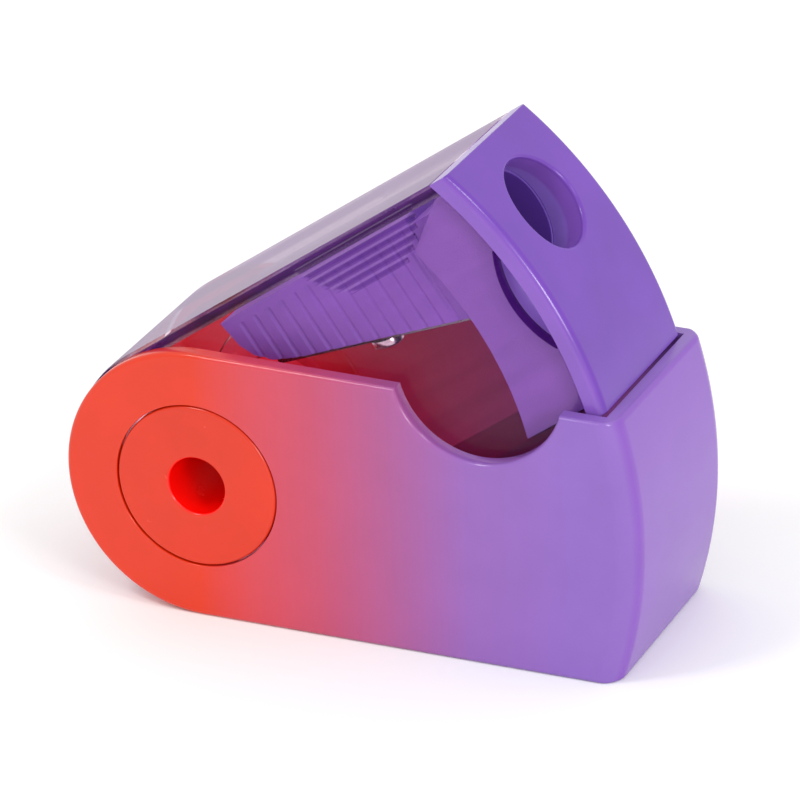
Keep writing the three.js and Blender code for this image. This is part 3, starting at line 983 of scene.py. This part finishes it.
def build_pieces():
    shut = Matrix.Translation(pivot)
    opened = shut @ Matrix.Rotation(-open_angle, 4, "Y")
    face = Matrix.Translation(Vector((SCREW_X, 0, face_height(SCREW_X))) * MM)
    on_face = opened @ face @ Matrix.Rotation(FACE_ANGLE, 4, "Y")
    red = pivot_material()
    cap = cap_material()
    inside = block_material()
    clear = clear_material()
    steel = steel_material("blade_steel", BLADE_GREY, BLADE_ROUGHNESS, (1, 0.05, 1))
    bright = steel_material("screw_steel", SCREW_GREY, SCREW_ROUGHNESS, (1, 1, 1))

    rows = [
        ("case", case_shape(), "outer_case", "case", "case_plastic", case_material(), shut),
        ("pivot_disc_near", pivot_shape(-1), "pivot_near", "swing_unit", "pivot_plastic", red, opened),
        ("pivot_disc_far", pivot_shape(1), "pivot_far", "swing_unit", "pivot_plastic", red, opened),
        ("clear_box", box_shape(), "shavings_box", "swing_unit", "clear_plastic", clear, opened),
        ("cap", cap_shape(), "front_cap", "swing_unit", "cap_plastic", cap, opened),
        ("ribbed_block", block_shape(), "sharpener_block", "swing_unit", "block_plastic", inside, opened),
        ("ground_blade", blade_shape(), "blade", "swing_unit", "blade_steel", steel, on_face),
        ("slotted_screw", screw_shape(), "blade_screw", "swing_unit", "screw_steel", bright, on_face),
    ]
    for name, piece, node, body, slot, material, place in rows:
        piece.name = name
        placed(piece, node, body, slot, material, place)


# ---- stage, in metres ----

FLOOR_REACH = 3.0
WORLD_STRENGTH = 0.95
LIGHT_DISTANCE = 0.6
LIGHTS = [  # name, direction from the object, side, radiance
    ("top_box", (-0.373, -0.42, 0.827), 0.1, 21),
    ("right_box", (0.754, -0.547, 0.369), 0.12, 19),
    ("corner_box", (0.57, -0.305, 0.75), 0.08, 16),
]
CAMERA_AZIMUTH = math.radians(24.275)
CAMERA_ELEVATION = math.radians(24.826)
CAMERA_ROLL = math.radians(-1.833)
CAMERA_DISTANCE = 0.4672
CAMERA_AIM = (0.00087, -0.00052, 0.01818)
LENS = 251
SENSOR = 36
CLEAR_DEPTH = 24  # how many clear surfaces a ray may pass


def add_floor():
    bm = bmesh.new()
    corners = [(-1, -1), (1, -1), (1, 1), (-1, 1)]
    bm.faces.new([bm.verts.new((FLOOR_REACH * x, FLOOR_REACH * y, 0)) for x, y in corners])
    floor = made("floor", bm)
    nodes = Nodes("pale_floor")
    shade = nodes.grey(nodes.drift(*FLOOR_SHADE))
    inputs = {"Base Color": shade, "Roughness": 0.9, "Specular IOR Level": 0.1}
    floor.data.materials.append(nodes.done(nodes.add("ShaderNodeBsdfPrincipled", inputs)))


def add_light(name, towards, size, radiance):
    """A square soft box that faces the object from a direction."""
    data = bpy.data.lights.new(name, "AREA")
    data.shape = "SQUARE"
    data.size = size
    data.energy = radiance * math.pi * size**2
    light = bpy.data.objects.new(name, data)
    direction = Vector(towards).normalized()
    light.location = Vector((0, 0, HUB_RADIUS * MM)) + direction * LIGHT_DISTANCE
    light.rotation_euler = direction.to_track_quat("Z", "Y").to_euler()
    bpy.context.scene.collection.objects.link(light)


def add_lights():
    world = bpy.data.worlds.new("studio")
    world.use_nodes = True
    sky = world.node_tree.nodes["Background"]
    sky.inputs["Color"].default_value = (1, 1, 1, 1)
    sky.inputs["Strength"].default_value = WORLD_STRENGTH
    bpy.context.scene.world = world
    for light in LIGHTS:
        add_light(*light)


def add_camera():
    """The camera looks at its aim from an azimuth and an elevation, and is rolled a little."""
    flat = math.cos(CAMERA_ELEVATION)
    side = math.sin(CAMERA_AZIMUTH)
    front = math.cos(CAMERA_AZIMUTH)
    back = Vector((side * flat, -front * flat, math.sin(CAMERA_ELEVATION)))
    level = Vector((front, side, 0))
    above = back.cross(level)
    right = level * math.cos(CAMERA_ROLL) + above * math.sin(CAMERA_ROLL)
    up = above * math.cos(CAMERA_ROLL) - level * math.sin(CAMERA_ROLL)
    data = bpy.data.cameras.new("camera")
    data.lens = LENS
    data.sensor_width = SENSOR
    camera = bpy.data.objects.new("camera", data)
    turn = Matrix((right, up, back)).transposed().to_4x4()
    camera.matrix_world = Matrix.Translation(Vector(CAMERA_AIM) + back * CAMERA_DISTANCE) @ turn
    bpy.context.scene.collection.objects.link(camera)
    bpy.context.scene.camera = camera


build_pieces()
add_floor()
add_lights()
add_camera()
bpy.context.scene.view_settings.view_transform = "Standard"
bpy.context.scene.cycles.transparent_max_bounces = CLEAR_DEPTH

bpy.context.view_layer.update()
